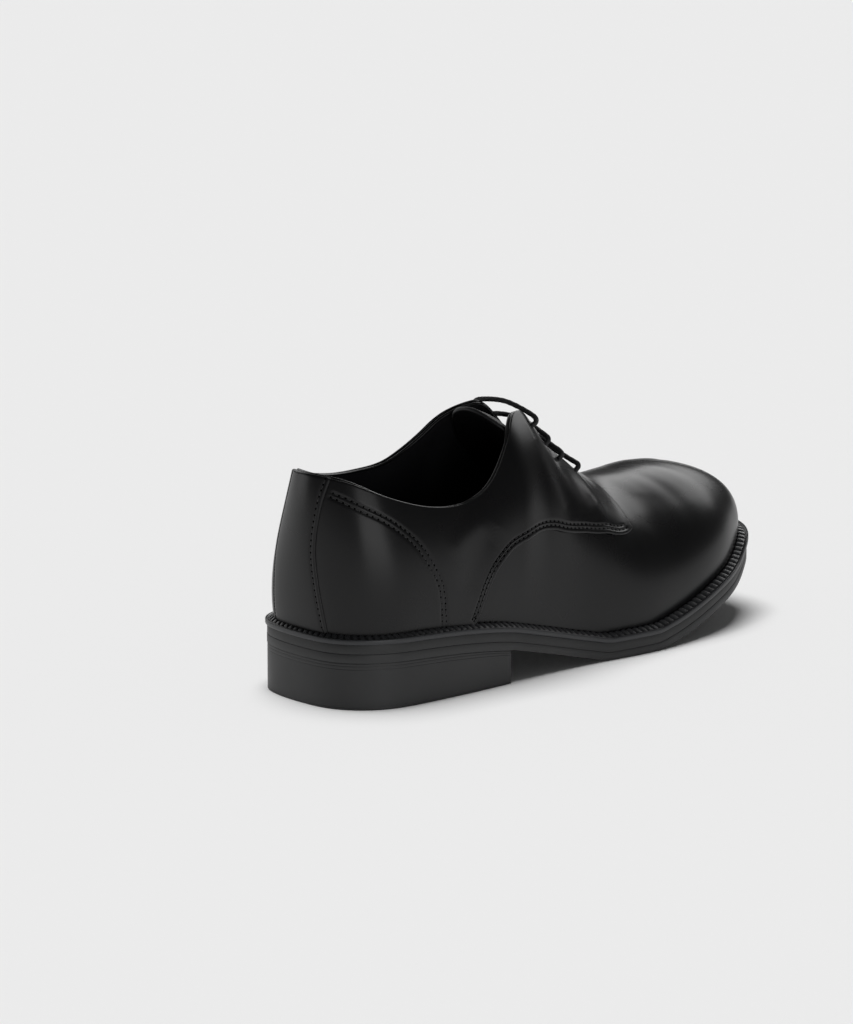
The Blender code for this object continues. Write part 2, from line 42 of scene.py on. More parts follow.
# the photograph's angle, with the camera's place worked out from the sole's outline
view = {
    "azimuth": -44.0,
    "elevation": 12.9,
    "distance": 3.0,
    "lens": 224.2,
    "sensor": 36.0,
    "near": 0.1,
    "far": 100.0,
    "aim": (-0.0314, 0.0283, 0.0662),
}
azimuth, elevation = math.radians(view["azimuth"]), math.radians(view["elevation"])
viewBack = Vector((
    math.sin(azimuth) * math.cos(elevation), -math.cos(azimuth) * math.cos(elevation), math.sin(elevation)
))
cameraData = bpy.data.cameras.new("camera")
cameraData.lens = view["lens"]
cameraData.sensor_width = view["sensor"]
cameraData.clip_start = view["near"]
cameraData.clip_end = view["far"]
camera = bpy.data.objects.new("camera", cameraData)
scene.collection.objects.link(camera)
camera.rotation_mode = "QUATERNION"
camera.rotation_quaternion = (-viewBack).to_track_quat("-Z", "Y")
camera.location = Vector(view["aim"]) + viewBack * view["distance"]
scene.camera = camera
print("camera set")

# sizes that the solids were made from, in metres
shoe = {
    "soleLength": 0.288,
    "ballWidth": 0.104,
    "heelHeight": 0.0224,
    "heelLength": 0.0945,
    "toeSpring": 0.031,
    "collarHeight": 0.0730,
    "instepHeight": 0.0995,
    "toeBoxHeight": 0.0530,
    "outsoleThick": 0.0038,
    "midsoleThick": 0.0040,
    "weltThick": 0.0026,
    "layerGap": 0.0003,
    "heelInset": 0.0010,
    "weltWidth": 0.0056,
    "weltInner": 0.0096,
    "bedReach": 0.030,
    "upperWall": 0.0018,
    "overlayGap": 0.0005,
    "quarterThick": 0.0012,
    "strapThick": 0.0020,
    "footGap": 0.0003,
    "insoleThick": 0.0030,
    "tongueThick": 0.0022,
    "throatEnd": 0.176,
    "throatRound": 0.014,
    "eyeletBack": 0.0066,
    "laceRadius": 0.00125,
    "laceGap": 0.0009,
    "laceRise": 0.0026,
    "strapGap": 0.0007,
}
# one row per section from the heel back to the toe tip: along, outer and inner half width
planRows = (
    (0.000, 0.053, -0.053), (0.015, 0.250, 0.222), (0.068, 0.384, 0.346), (0.140, 0.424, 0.364),
    (0.213, 0.436, 0.346), (0.287, 0.440, 0.325), (0.360, 0.438, 0.298), (0.434, 0.436, 0.284),
    (0.508, 0.442, 0.308), (0.580, 0.464, 0.372), (0.653, 0.480, 0.458), (0.726, 0.468, 0.508),
    (0.798, 0.440, 0.520), (0.868, 0.384, 0.490), (0.932, 0.286, 0.412), (0.983, 0.145, 0.268),
    (1.000, -0.084, 0.084),
)
# underside of the outsole: along, share of the heel height, then along, share of the toe spring
seatRows = (
    (-0.10, 1.0), (0.000, 1.0), (0.070, 0.993), (0.140, 0.965), (0.213, 0.906), (0.287, 0.800),
    (0.330, 0.710), (0.380, 0.555), (0.445, 0.340), (0.510, 0.125), (0.560, 0.0), (0.650, 0.0),
)
springRows = (
    (0.560, 0.0), (0.650, 0.0), (0.690, 0.060), (0.733, 0.155), (0.770, 0.255), (0.813, 0.380),
    (0.858, 0.505), (0.900, 0.640), (0.940, 0.800), (1.000, 1.0), (1.10, 1.25),
)
# upper end of each section, which the throat cuts back: along, half width, outer and inner height
topRows = (
    (0.019, 0.000, 1.004, 1.004), (0.042, 0.162, 0.975, 0.984), (0.085, 0.243, 0.889, 0.924),
    (0.156, 0.283, 0.797, 0.871), (0.229, 0.298, 0.776, 0.878), (0.299, 0.296, 0.874, 0.950),
    (0.368, 0.245, 0.852, 0.864), (0.431, 0.085, 1.050, 1.054), (0.486, 0.030, 0.945, 0.998),
    (0.545, 0.000, 0.812, 0.834), (0.611, 0.000, 1.291, 1.291), (0.667, 0.000, 1.203, 1.203),
    (0.726, 0.000, 1.137, 1.137), (0.774, 0.000, 1.079, 1.079), (0.809, 0.000, 1.016, 1.016),
    (0.830, 0.000, 0.968, 0.968), (0.837, 0.000, 0.948, 0.948),
)
# lean at the top, tilt at the foot, straight run at the top and at the foot
shapeRows = (
    (11.0, 7.3, 0.34, 0.34), (12.0, 7.5, 0.34, 0.34), (15.0, 8.0, 0.32, 0.36), (18.0, 10.0, 0.30, 0.36),
    (20.0, 8.0, 0.30, 0.36), (24.0, 6.0, 0.32, 0.36), (36.0, 5.0, 0.34, 0.36), (54.0, 5.0, 0.34, 0.38),
    (66.0, 6.0, 0.35, 0.40), (80.0, 8.0, 0.36, 0.42), (88.0, 10.0, 0.38, 0.42), (90.0, 12.0, 0.40, 0.40),
    (90.0, 14.0, 0.44, 0.40), (90.0, 13.0, 0.48, 0.40), (90.0, 11.0, 0.50, 0.40), (90.0, 11.0, 0.51, 0.40),
    (90.0, 12.0, 0.52, 0.40),
)
# opening between the facings: along, half width
throatRows = ((0.368, 0.245), (0.431, 0.135), (0.486, 0.115), (0.545, 0.115), (0.611, 0.115))
# middle line of the foot: along, sideways
middleRows = ((-0.1, -0.048), (0.20, -0.046), (0.42, -0.030), (0.65, 0.004), (0.82, 0.050), (1.1, 0.075))
# quarter edges: section and share up it at the lower edge, section at the top line
quarterRows = (
    (0.42, 0.000, 0.58), (1.50, 0.000, 1.45), (2.70, 0.000, 2.50), (3.80, 0.000, 3.50),
    (4.54, 0.004, 4.45), (4.80, 0.165, 5.20), (4.98, 0.300, 5.65), (5.22, 0.403, 6.05),
    (5.70, 0.468, 6.45), (6.40, 0.440, 6.85), (7.32, 0.424, 7.40), (8.34, 0.484, 8.20),
    (9.10, 0.512, 8.90), (9.82, 0.540, 9.82),
)
# back strap's outline: share up the section, place of its middle and half width in sections
strapRows = (
    (0.00, -0.25, 0.73), (0.12, -0.29, 0.70), (0.30, -0.34, 0.66), (0.50, -0.38, 0.65), (0.80, -0.26, 0.65),
    (1.00, -0.10, 0.66),
)
# middle of the tongue: along, height, half width
tongueRows = (
    (0.660, 1.126, 0.150), (0.611, 1.185, 0.185), (0.545, 0.679, 0.236), (0.486, 0.788, 0.228),
    (0.438, 0.885, 0.215), (0.403, 0.951, 0.200), (0.372, 0.974, 0.180),
)
eyeletSections = (7.36, 7.96, 8.50, 9.05)


def tableCurve(rows, column, place):  # smooth curve through a table, with no overshoot between its rows
    rows = np.array(rows)
    x, y = rows[:, 0], rows[:, column]
    step = np.diff(x)
    slope = np.diff(y) / step
    turn = np.zeros(len(x))
    same = slope[:-1] * slope[1:] > 0
    first, second = slope[:-1][same], slope[1:][same]
    weight = step[:-1][same] + 2 * step[1:][same]
    other = 2 * step[:-1][same] + step[1:][same]
    turn[1:-1][same] = (weight + other) / (weight / first + other / second)
    turn[0], turn[-1] = slope[0], slope[-1]
    place = np.clip(place, x[0], x[-1])
    index = np.clip(np.searchsorted(x, place, side="right") - 1, 0, len(x) - 2)
    u = (place - x[index]) / step[index]
    start, end = turn[index] * step[index], turn[index + 1] * step[index]
    rise = y[index + 1] - y[index]
    return y[index] + start * u + (3 * rise - 2 * start - end) * u**2 + (start + end - 2 * rise) * u**3


def numbered(rows):  # a table with the row's number in front
    return np.c_[np.arange(len(rows), dtype=float), np.array(rows)]


def ringSpline(values, place):  # smooth closed curve through evenly numbered values
    values = np.array(values, float)
    count = len(values)
    bend = np.eye(count) * 4 + np.roll(np.eye(count), 1, 1) + np.roll(np.eye(count), -1, 1)
    pull = 6 * (np.roll(values, 1, 0) - 2 * values + np.roll(values, -1, 0))
    second = np.linalg.solve(bend, pull)
    place = np.asarray(place, float) % count
    index = place.astype(int) % count
    after = (index + 1) % count
    u = (place - place.astype(int)).reshape(place.shape + (1,) * (values.ndim - 1))
    back = 1 - u
    return (
        back * values[index] + u * values[after]
        + ((back**3 - back) * second[index] + (u**3 - u) * second[after]) / 6
    )


# the height that each row of topRows is a share of
topSizes = np.array([shoe["collarHeight"]] * 6 + [shoe["instepHeight"]] * 4 + [shoe["toeBoxHeight"]] * 7)
sectionCount = len(planRows) - 1
ringCount = 2 * sectionCount
# steps for directions, the sections where parts of the upper begin, and how fine its grids are
upperShape = {
    "ringStep": 0.01, "bedSteps": 7, "slopeSteps": 15, "ridgeFrom": 9, "frontFrom": 7.5, "frontRun": 2.5,
    "throatFrom": 6, "throatLevels": 80, "cutPlaces": 1601, "planPlaces": 800,
    "upCount": 70, "split": 7, "backStations": 90, "frontStations": 130, "closedFrom": 10,
}


def bothSides(outer, inner):  # values round the ring from the values by section
    return np.concatenate([outer, inner[sectionCount - 1:0:-1]])


def sectionOf(ring):  # section and side of a place on the ring, -1 outer and +1 inner
    ring = np.asarray(ring, float) % ringCount
    inner = ring > sectionCount
    return np.where(inner, ringCount - ring, ring), np.where(inner, 1.0, -1.0)


def soleEdge(ring, inset):  # plan of the sole, moved in from its edge
    plan = np.array(planRows)
    x = bothSides(plan[:, 0], plan[:, 0]) * shoe["soleLength"]
    y = bothSides(-plan[:, 1], plan[:, 2]) * shoe["ballWidth"]
    loop = np.stack([x, y], 1)
    here = ringSpline(loop, ring)
    step = upperShape["ringStep"]
    ahead = ringSpline(loop, np.asarray(ring) + step) - ringSpline(loop, np.asarray(ring) - step)
    normal = np.stack([-ahead[..., 1], ahead[..., 0]], -1)
    normal /= np.linalg.norm(normal, axis=-1, keepdims=True)
    return here + np.asarray(inset)[..., None] * normal


def soleUnderside(x):
    share = x / shoe["soleLength"]
    seat = shoe["heelHeight"] * tableCurve(seatRows, 1, share)
    return seat + shoe["toeSpring"] * tableCurve(springRows, 1, share)


def weltTop(x):
    layers = shoe["outsoleThick"] + shoe["midsoleThick"] + shoe["weltThick"] + 2 * shoe["layerGap"]
    return soleUnderside(x) + layers


def footBed(x):  # the welt's top with the bends evened out
    reach = shoe["bedReach"] * np.linspace(-1, 1, upperShape["bedSteps"])
    return np.mean([weltTop(np.asarray(x) + step) for step in reach], axis=0)


def middle(x):  # sideways place of the foot's middle line
    return shoe["ballWidth"] * tableCurve(middleRows, 1, x / shoe["soleLength"])


def throatHalf(x):  # half width of the opening between the facings, rounded at its lower end
    run = np.clip((x - shoe["throatEnd"] + shoe["throatRound"]) / shoe["throatRound"], 0, 1)
    wide = tableCurve(throatRows, 1, x / shoe["soleLength"]) * shoe["ballWidth"]
    return wide * np.sqrt(1 - run**2)


def sectionEnds(ring):  # upper end of each section
    rows = np.array(topRows)
    section, side = sectionOf(ring)
    span = ringSpline(bothSides(rows[:, 0], rows[:, 0]), ring) * shoe["soleLength"]
    over = bothSides(rows[:, 2] * topSizes, rows[:, 3] * topSizes)
    z = footBed(span) + ringSpline(over, ring)
    half = tableCurve(numbered(rows), 2, section) * shoe["ballWidth"]
    return np.stack([span, middle(span) + side * half, z], -1)


def spineSlope(x):  # rise of the vamp's ridge along x
    rows = np.array(topRows)
    ridge = np.c_[rows[:, 0] * shoe["soleLength"], rows[:, 2] * topSizes][upperShape["ridgeFrom"]:]
    step = shoe["bedReach"] / upperShape["slopeSteps"]
    ahead = np.clip(x + step, None, ridge[-1, 0])
    behind = ahead - 2 * step
    rise = footBed(ahead) - footBed(behind) + tableCurve(ridge, 1, ahead) - tableCurve(ridge, 1, behind)
    return rise / (ahead - behind)


def sectionCurve(ring, up):  # outer face of the upper over a whole section, from the welt up
    ring = np.asarray(ring, float)
    up = np.asarray(up, float)[..., None]
    footPlan = soleEdge(ring, shoe["weltWidth"])
    foot = np.concatenate([footPlan, (weltTop(footPlan[..., 0]) + shoe["footGap"])[..., None]], -1)
    top = sectionEnds(ring)
    shape = np.array(shapeRows)
    lean, tilt, topRun, footRun = [
        ringSpline(bothSides(shape[:, k], shape[:, k]), ring)[..., None] for k in range(4)
    ]
    lean, tilt = np.radians(lean), np.radians(tilt)
    edge = soleEdge(ring, 0.0) - footPlan
    out = np.concatenate([edge / shoe["weltWidth"], np.zeros(edge.shape[:-1] + (1,))], -1)
    toFoot = foot - top
    toFoot[..., 2] = 0
    toFoot /= np.linalg.norm(toFoot, axis=-1, keepdims=True)
    front = (sectionOf(ring)[0] - upperShape["frontFrom"]) / upperShape["frontRun"]
    front = np.clip(front, 0, 1)[..., None]
    front = front**2 * (3 - 2 * front)
    away = out * (1 - front) + toFoot * front
    away /= np.linalg.norm(away, axis=-1, keepdims=True)
    away[..., 2] = front[..., 0] * spineSlope(top[..., 0]) * away[..., 0]
    rise = np.array([0.0, 0.0, 1.0])
    span = np.linalg.norm(foot - top, axis=-1, keepdims=True)
    low = foot + footRun * span * (np.cos(tilt) * rise + np.sin(tilt) * out)
    high = top + topRun * span * (np.sin(lean) * away - np.cos(lean) * rise)
    down = 1 - up
    return down**3 * foot + 3 * down**2 * up * low + 3 * down * up**2 * high + up**3 * top


def throatCut(ring):  # share up each section at which it meets the edge of the throat
    levels = np.linspace(0.5, 1.0, upperShape["throatLevels"])
    points = sectionCurve(ring[:, None] + 0 * levels, levels + 0 * ring[:, None])
    off = np.abs(points[..., 1] - middle(points[..., 0])) - throatHalf(points[..., 0])
    cuts = np.ones(len(ring))
    for k in np.flatnonzero((sectionOf(ring)[0] > upperShape["throatFrom"]) & (off.min(1) < 0)):
        first = np.argmax(off[k] < 0)
        before, after = off[k, first - 1], off[k, first]
        cuts[k] = levels[first - 1] + (levels[1] - levels[0]) * before / (before - after)
    return cuts


cutPlaces = np.linspace(0, ringCount, upperShape["cutPlaces"])
cutShares = throatCut(cutPlaces)


def surface(ring, up):  # outer face of the upper, up from the welt to the top line
    return sectionCurve(ring, up * np.interp(np.asarray(ring) % ringCount, cutPlaces, cutShares))


def strapPlace(up, across):  # place on the ring of a point across the strap, from -1 to 1
    return tableCurve(strapRows, 1, up) + across * tableCurve(strapRows, 2, up)


planEdge = soleEdge(np.linspace(0, ringCount, upperShape["planPlaces"]), 0.0)
planMiddle = np.append((planEdge.min(0) + planEdge.max(0)) / 2, 0.0)


def gridQuads(index):
    return np.stack([index[:-1, :-1], index[1:, :-1], index[1:, 1:], index[:-1, 1:]], -1).reshape(-1, 4)


def quadNormals(points, quads):
    each = np.cross(points[quads[:, 2]] - points[quads[:, 0]], points[quads[:, 3]] - points[quads[:, 1]])
    normals = np.zeros_like(points)
    for corner in range(4):
        np.add.at(normals, quads[:, corner], each)
    return normals / (np.linalg.norm(normals, axis=1, keepdims=True) + 1e-20)


def thickSheet(points, quads, outer, inner, relief=None):
    # a sheet of leather between two offsets, with its cut edge rounded; slot 1 is its inner face
    rimSteps = 5
    normals = quadNormals(points, quads)
    count = len(points)
    relief = np.zeros(count) if relief is None else relief
    middleOffset, half = (outer + inner) / 2, (outer - inner) / 2
    edges = np.concatenate([quads[:, [0, 1]], quads[:, [1, 2]], quads[:, [2, 3]], quads[:, [3, 0]]])
    edges = edges[edges[:, 0] != edges[:, 1]]
    ordered = np.sort(edges, axis=1)
    _, index, uses = np.unique(ordered, axis=0, return_index=True, return_counts=True)
    rim = edges[index[uses == 1]]
    rimPoints = np.unique(rim)
    place = np.full(count, -1)
    place[rimPoints] = np.arange(len(rimPoints))
    outward = np.zeros((count, 3))
    along = points[rim[:, 1]] - points[rim[:, 0]]
    for corner in range(2):
        np.add.at(outward, rim[:, corner], np.cross(along, normals[rim[:, corner]]))
    outward = outward[rimPoints]
    outward /= np.linalg.norm(outward, axis=1, keepdims=True) + 1e-20
    parts = [points + (outer + relief)[:, None] * normals, points + inner * normals]
    starts = [0]
    for k in range(1, rimSteps):
        turn = math.pi / 2 - math.pi * k / rimSteps
        offset = middleOffset + half * math.sin(turn) + relief[rimPoints] * (rimSteps - k) / rimSteps
        starts.append(2 * count + (k - 1) * len(rimPoints))
        parts.append(
            points[rimPoints] + offset[:, None] * normals[rimPoints] + half * math.cos(turn) * outward
        )
    faces = [quads, quads[:, ::-1] + count]
    first, second = rim[:, 1], rim[:, 0]
    rows = [(first, second)]
    rows += [(place[first] + start, place[second] + start) for start in starts[1:]]
    rows += [(first + count, second + count)]
    for (a, b), (c, d) in zip(rows[:-1], rows[1:]):
        faces.append(np.stack([a, b, d, c], 1))
    slots = np.zeros(sum(len(f) for f in faces), int)
    slots[len(quads):2 * len(quads)] = 1
    return np.concatenate(parts), np.concatenate(faces), slots


def addPiece(name, points, faces, looks, slots=None):
    mesh = bpy.data.meshes.new(name)
    kept, keptSlots = [], []
    for k, face in enumerate(faces):
        corners = list(dict.fromkeys(int(corner) for corner in face))
        if len(corners) > 2:
            kept.append(corners)
            keptSlots.append(0 if slots is None else int(slots[k]))
    mesh.from_pydata(np.asarray(points - planMiddle).tolist(), [], kept)
    for look in looks:
        mesh.materials.append(look)
    mesh.polygons.foreach_set("material_index", keptSlots)
    mesh.polygons.foreach_set("use_smooth", [True] * len(kept))
    mesh.update()
    piece = bpy.data.objects.new(name, mesh)
    scene.collection.objects.link(piece)
    shoeGroup.objects.link(piece)
    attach(piece, "root")
    return piece


def nearLine(points, line, reach=0.008):  # distance to a fine line, and how far along it that is
    far, atOnce = 1e9, 4000
    best = np.full(len(points), far)
    share = np.zeros(len(points))
    box = (points > line.min(0) - reach).all(1) & (points < line.max(0) + reach).all(1)
    index = np.flatnonzero(box)
    for chunk in np.array_split(index, max(1, len(index) // atOnce)):
        if len(chunk):
            gap = np.linalg.norm(points[chunk][:, None] - line[None], axis=2)
            nearest = gap.argmin(1)
            best[chunk] = gap[np.arange(len(chunk)), nearest]
            share[chunk] = nearest / (len(line) - 1)
    return best, share


def runAlong(line):  # length of a line up to each of its points
    return np.concatenate([[0], np.cumsum(np.linalg.norm(np.diff(line, axis=0), axis=1))])


def directions(line):
    ahead = np.gradient(line, axis=0)
    return ahead / np.linalg.norm(ahead, axis=1, keepdims=True)


def circle(sides, first, second):
    turn = np.arange(sides) * 2 * math.pi / sides
    return np.cos(turn)[:, None] * first + np.sin(turn)[:, None] * second


def evenLine(line, spacing):  # points at even steps along a line
    length = runAlong(line)
    count = max(2, int(round(length[-1] / spacing)) + 1)
    places = np.linspace(0, length[-1], count)
    return np.stack([np.interp(places, length, line[:, k]) for k in range(3)], 1)


def surfaceLine(rows, side, count=200):  # smooth line on the upper through rows of section and share up it
    place = np.linspace(0, len(rows) - 1, count)
    section, up = [tableCurve(numbered(rows), k, place) for k in (1, 2)]
    ring = section if side < 0 else ringCount - section
    return surface(ring, up)


def surfaceNormal(points, book):  # direction out of the leather at the points nearest to these
    gridPoints, gridNormals = book
    return np.array([gridNormals[np.argmin(((gridPoints - point) ** 2).sum(1))] for point in points])


# what all finishes share: detail of the noise, the span of it in use, depth of the bumps in metres
noise = {
    "patchDetail": 3.0, "fineDetail": 2.0, "low": 0.3, "high": 0.7, "grainDepth": 0.0002, "waveDepth": 0.002,
    "sheenRoughness": 0.5,
}


def noiseNode(tree, scale, detail, coordinates, place):
    node = tree.nodes.new("ShaderNodeTexNoise")
    node.inputs["Scale"].default_value = scale
    node.inputs["Detail"].default_value = detail
    node.location = place
    tree.links.new(coordinates, node.inputs["Vector"])
    return node.outputs["Fac"]


def rangeNode(tree, value, low, high, place):
    node = tree.nodes.new("ShaderNodeMapRange")
    node.inputs["From Min"].default_value = noise["low"]
    node.inputs["From Max"].default_value = noise["high"]
    node.inputs["To Min"].default_value = low
    node.inputs["To Max"].default_value = high
    node.location = place
    tree.links.new(value, node.inputs["Value"])
    return node.outputs["Result"]


def bumpNode(tree, height, strength, distance, place, before=None):
    node = tree.nodes.new("ShaderNodeBump")
    node.inputs["Strength"].default_value = strength
    node.inputs["Distance"].default_value = distance
    node.location = place
    tree.links.new(height, node.inputs["Height"])
    if before is not None:
        tree.links.new(before, node.inputs["Normal"])
    return node.outputs["Normal"]


def finish(name, look):
    # look: two close colours, roughness range, coat, grain size and depth, slow unevenness
    made = bpy.data.materials.new(name)
    made.use_nodes = True
    tree = made.node_tree
    shader = tree.nodes["Principled BSDF"]
    coordinates = tree.nodes.new("ShaderNodeTexCoord").outputs["Object"]
    slow = noiseNode(tree, look["patchScale"], noise["patchDetail"], coordinates, (-900, 300))
    mix = tree.nodes.new("ShaderNodeMix")
    mix.data_type = "RGBA"
    mix.location = (-500, 300)
    mix.inputs["A"].default_value = (*look["dark"], 1.0)
    mix.inputs["B"].default_value = (*look["light"], 1.0)
    tree.links.new(slow, mix.inputs["Factor"])
    tree.links.new(mix.outputs["Result"], shader.inputs["Base Color"])
    rough = rangeNode(tree, slow, *look["roughness"], (-500, 0))
    tree.links.new(rough, shader.inputs["Roughness"])
    fine = noiseNode(tree, look["grainScale"], noise["fineDetail"], coordinates, (-900, -300))
    normal = bumpNode(tree, fine, look["grain"], noise["grainDepth"], (-500, -300))
    wave = noiseNode(tree, look["waveScale"], noise["fineDetail"], coordinates, (-900, -600))
    normal = bumpNode(tree, wave, look["wave"], noise["waveDepth"], (-300, -500), normal)
    tree.links.new(normal, shader.inputs["Normal"])
    shader.inputs["Specular IOR Level"].default_value = look["specular"]
    shader.inputs["Coat Weight"].default_value = look["coat"]
    shader.inputs["Coat Roughness"].default_value = look["coatRoughness"]
    shader.inputs["Sheen Weight"].default_value = look["sheen"]
    shader.inputs["Sheen Roughness"].default_value = noise["sheenRoughness"]
    return made


leatherLook = {
    "dark": (0.0026, 0.0026, 0.0029), "light": (0.0044, 0.0044, 0.0049), "patchScale": 18.0,
    "roughness": (0.25, 0.31), "specular": 0.28, "coat": 0.0, "coatRoughness": 0.2, "sheen": 0.0,
    "grainScale": 1600.0, "grain": 0.05, "waveScale": 32.0, "wave": 0.015,
}
liningLook = {
    "dark": (0.0040, 0.0040, 0.0055), "light": (0.0065, 0.0065, 0.0085), "patchScale": 30.0,
    "roughness": (0.60, 0.72), "specular": 0.3, "coat": 0.0, "coatRoughness": 0.4, "sheen": 0.05,
    "grainScale": 1100.0, "grain": 0.12, "waveScale": 60.0, "wave": 0.05,
}
rubberLook = {
    "dark": (0.013, 0.0134, 0.0138), "light": (0.018, 0.0184, 0.0192), "patchScale": 40.0,
    "roughness": (0.44, 0.54), "specular": 0.45, "coat": 0.0, "coatRoughness": 0.4, "sheen": 0.0,
    "grainScale": 2400.0, "grain": 0.10, "waveScale": 90.0, "wave": 0.02,
}
threadLook = {
    "dark": (0.006, 0.006, 0.007), "light": (0.012, 0.012, 0.013), "patchScale": 300.0,
    "roughness": (0.55, 0.7), "specular": 0.4, "coat": 0.0, "coatRoughness": 0.4, "sheen": 0.1,
    "grainScale": 3200.0, "grain": 0.3, "waveScale": 500.0, "wave": 0.1,
}
leather = finish("leather", leatherLook)
strapLeather = finish("strapLeather", leatherLook)
lining = finish("lining", liningLook)
tongueLeather = finish("tongueLeather", {**leatherLook, "roughness": (0.46, 0.54), "coat": 0.1})
insoleLeather = finish("insoleLeather", liningLook)
heelRubber = finish("heelRubber", rubberLook)
soleRubber = finish("soleRubber", rubberLook)
weltRubber = finish("weltRubber", {
    **rubberLook, "roughness": (0.34, 0.42),
    "dark": (0.018, 0.019, 0.021), "light": (0.026, 0.027, 0.030),
})
# the midsole's colours are darker than the outsole's: painted shade for the shadow that the welt's overhang
# casts on the band below it
midsoleRubberPaintedShade = finish("midsoleRubberPaintedShade", {
    **rubberLook, "roughness": (0.48, 0.56),
    "dark": (0.010, 0.0103, 0.0107), "light": (0.014, 0.0144, 0.0150),
})
laceCord = finish("laceCord", threadLook)
thread = finish("thread", threadLook)
# near-black finish with no reflection: painted shade for the dark inside of each needle hole
paintedHoleShade = finish("paintedHoleShade", {
    **threadLook, "roughness": (0.9, 1.0), "specular": 0.0, "sheen": 0.0,
    "dark": (0.0008, 0.0008, 0.0008), "light": (0.0015, 0.0015, 0.0015),
})
print("finishes made")

# stitch lines on the quarters: section, share up it
counterRows = (
    (0.64, 0.890), (1.20, 0.854), (1.98, 0.812), (2.62, 0.700), (3.16, 0.490), (3.44, 0.330), (3.60, 0.085),
    (3.63, 0.012),
)
counterUpperRows = (
    (0.68, 0.917), (1.30, 0.888), (2.08, 0.847), (2.72, 0.730), (3.27, 0.510), (3.56, 0.330), (3.71, 0.085),
    (3.74, 0.012),
)

# rows: distances of the stitch rows from the cut edge; step: that of the fine lines they follow;
# cornerTrim ends a row before the front corner: grid points left off, and how many more per metre
seam = {
    "depth": 0.00034, "width": 0.00055, "spacing": 0.0029, "length": 0.0021, "radius": 0.00024,
    "sink": 0.00002, "rest": 0.55, "hole": 0.00046, "holeOver": 0.00003, "step": 0.0003,
    "quarterRows": (0.0017, 0.0036), "strapRow": 0.0013, "droop": 1.2, "cornerTrim": (3, 1500),
    "normalEvery": 4,
}


def placesOn(line, first, spacing):  # numbers of the points at even steps along a line
    run = runAlong(line)
    return [min(np.searchsorted(run, place), len(line) - 1) for place in np.arange(first, run[-1], spacing)]


def stitchMeshes(lines):  # each line is (points, normals, height over the points); a stitch is a capsule
    sides = 6
    shape = ((-0.5, 0.35), (-0.36, 0.9), (0.0, 1.0), (0.36, 0.9), (0.5, 0.35))  # along, width
    length, radius = seam["length"], seam["radius"]
    allPoints, allFaces, start = [], [], 0
    for line, normals, height in lines:
        ahead = directions(line)
        for k in placesOn(line, seam["spacing"] / 2, seam["spacing"]):
            along, normal = ahead[k], normals[k]
            centre = line[k] + (height - seam["sink"]) * normal
            ring = circle(sides, np.cross(normal, along), normal)
            allPoints += [
                centre + along * length * at + radius * wide * ring
                - normal * abs(at) * radius * seam["droop"]
                for at, wide in shape
            ]
            for row in range(len(shape) - 1):
                for i in range(sides):
                    a, b = start + row * sides + i, start + row * sides + (i + 1) % sides
                    allFaces.append((a, b, b + sides, a + sides))
            start += sides * len(shape)
    return np.concatenate(allPoints), allFaces


# the cones are coloured near black as painted shade inside each needle hole
def holeShadeMeshes(lines):  # needle holes between the stitches, each a closed cone just over the leather
    sides = 8
    radius = seam["hole"]
    allPoints, allFaces = [], []
    for line, normals, height in lines:
        for k in placesOn(line, 0, seam["spacing"]):
            normal = normals[k]
            along = np.cross(normal, (0.3, 0.5, 0.8))  # any direction on the leather will do
            along /= np.linalg.norm(along)
            centre = line[k] + (height + seam["holeOver"]) * normal
            start = (sides + 1) * len(allPoints)
            rim = centre + radius * circle(sides, along, np.cross(normal, along))
            allPoints.append(np.concatenate([rim, (centre - radius * normal)[None]]))
            allFaces.append(list(range(start, start + sides)))
            allFaces += [(start + (i + 1) % sides, start + i, start + sides) for i in range(sides)]
    return np.concatenate(allPoints), allFaces


# creases: side, depth (below 0 is a ridge) and width in metres, then section and share up it along each
folds = (
    (-1, 0.00055, 0.0050, ((7.15, 0.86), (7.55, 0.66), (7.95, 0.50))),
    (-1, -0.00030, 0.0045, ((7.60, 0.90), (7.95, 0.72), (8.25, 0.56))),
    (-1, 0.00030, 0.0045, ((8.35, 0.84), (8.60, 0.72), (8.85, 0.64))),
    (-1, 0.00020, 0.0080, ((10.3, 0.46), (10.9, 0.60), (11.2, 0.72))),
    (-1, 0.00050, 0.0080, ((4.20, 0.22), (4.55, 0.50), (5.20, 0.72))),
    (-1, -0.00030, 0.0060, ((3.70, 0.55), (4.20, 0.74), (4.80, 0.84))),
    (1, 0.00045, 0.0060, ((7.20, 0.82), (7.70, 0.60), (8.20, 0.48))),
    (1, 0.00025, 0.0080, ((10.2, 0.52), (10.8, 0.62), (11.2, 0.76))),
    (1, 0.00045, 0.0080, ((4.30, 0.30), (4.70, 0.55), (5.40, 0.74))),
)


# points along a crease, its reach, the shares along it between which it fades, and how fast
fold = {"points": 80, "reach": 0.02, "ends": (0.04, 0.96), "fade": 1.6}


def foldRelief(points):  # how far the creases raise or sink each point
    relief = np.zeros(len(points))
    for side, depth, width, rows in folds:
        gap, share = nearLine(points, surfaceLine(rows, side, fold["points"]), fold["reach"])
        fade = np.clip(np.sin(math.pi * np.clip(share, *fold["ends"])) * fold["fade"], 0, 1)
        relief -= depth * fade * np.exp(-(gap / width) ** 2)
    return relief


# overlays run from low to high up the section; seamStart is the row where the front seam leaves the welt
overlay = {
    "low": 0.012, "high": 0.994, "alongCount": 270, "levelCount": 110, "seamStart": 4.02,
    "strapLevels": 120, "strapAcross": 40,
}


